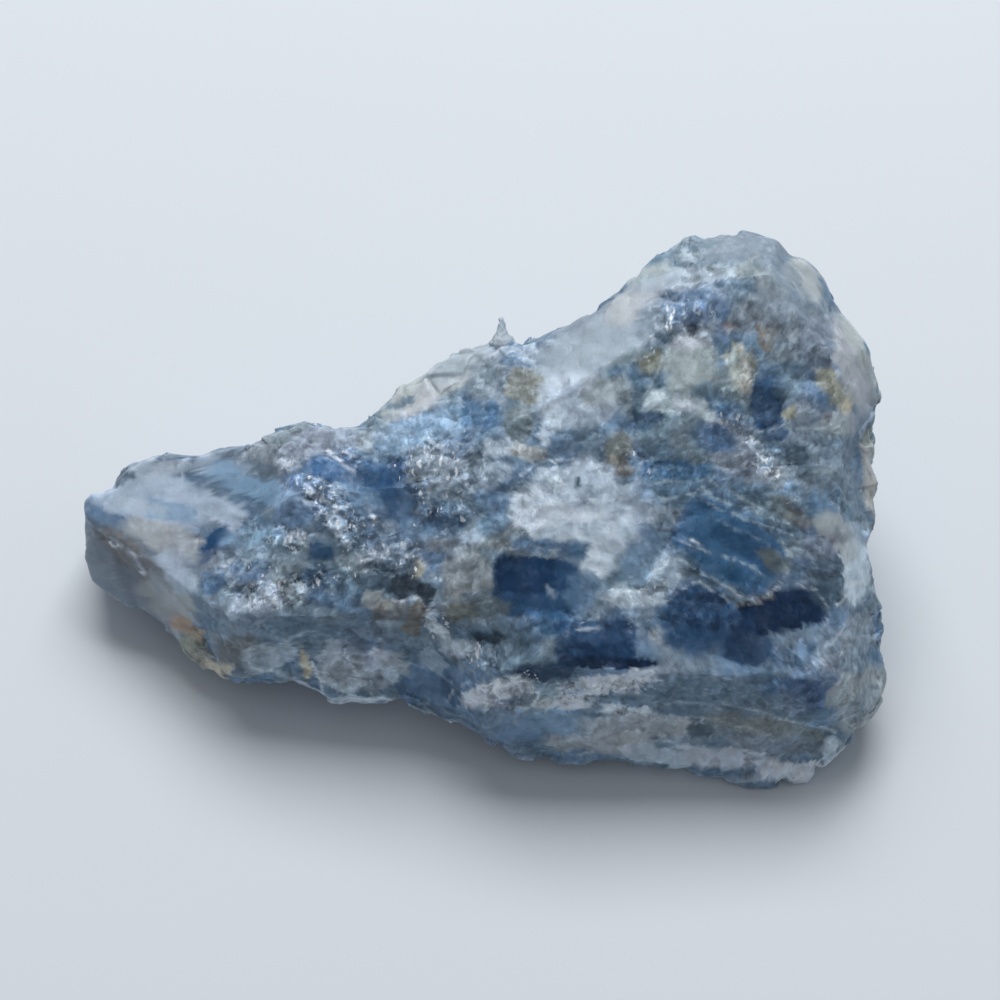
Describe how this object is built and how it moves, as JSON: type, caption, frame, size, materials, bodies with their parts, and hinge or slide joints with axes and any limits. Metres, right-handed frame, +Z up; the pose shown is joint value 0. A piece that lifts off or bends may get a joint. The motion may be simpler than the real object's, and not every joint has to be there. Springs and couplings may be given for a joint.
{
  "type": "blue calcite mineral specimen",
  "caption": "Rough lump of cloudy blue calcite with a thin arm and a broad cleaved face, lying on a small flat foot.",
  "frame": {"origin": "centre of the bounding box's bottom, on the surface that the stone lies on", "axes": "+X along the stone's length, away from its thin arm; +Y towards its high back; +Z up"},
  "size_m": [0.0984, 0.062, 0.042],
  "materials": {
    "calcite": "cloudy blue calcite, waxy to glassy cleavage faces with frosted grain borders"
  },
  "bodies": {
    "root": {"calcite_lump": "calcite"}
  },
  "joints": []
}
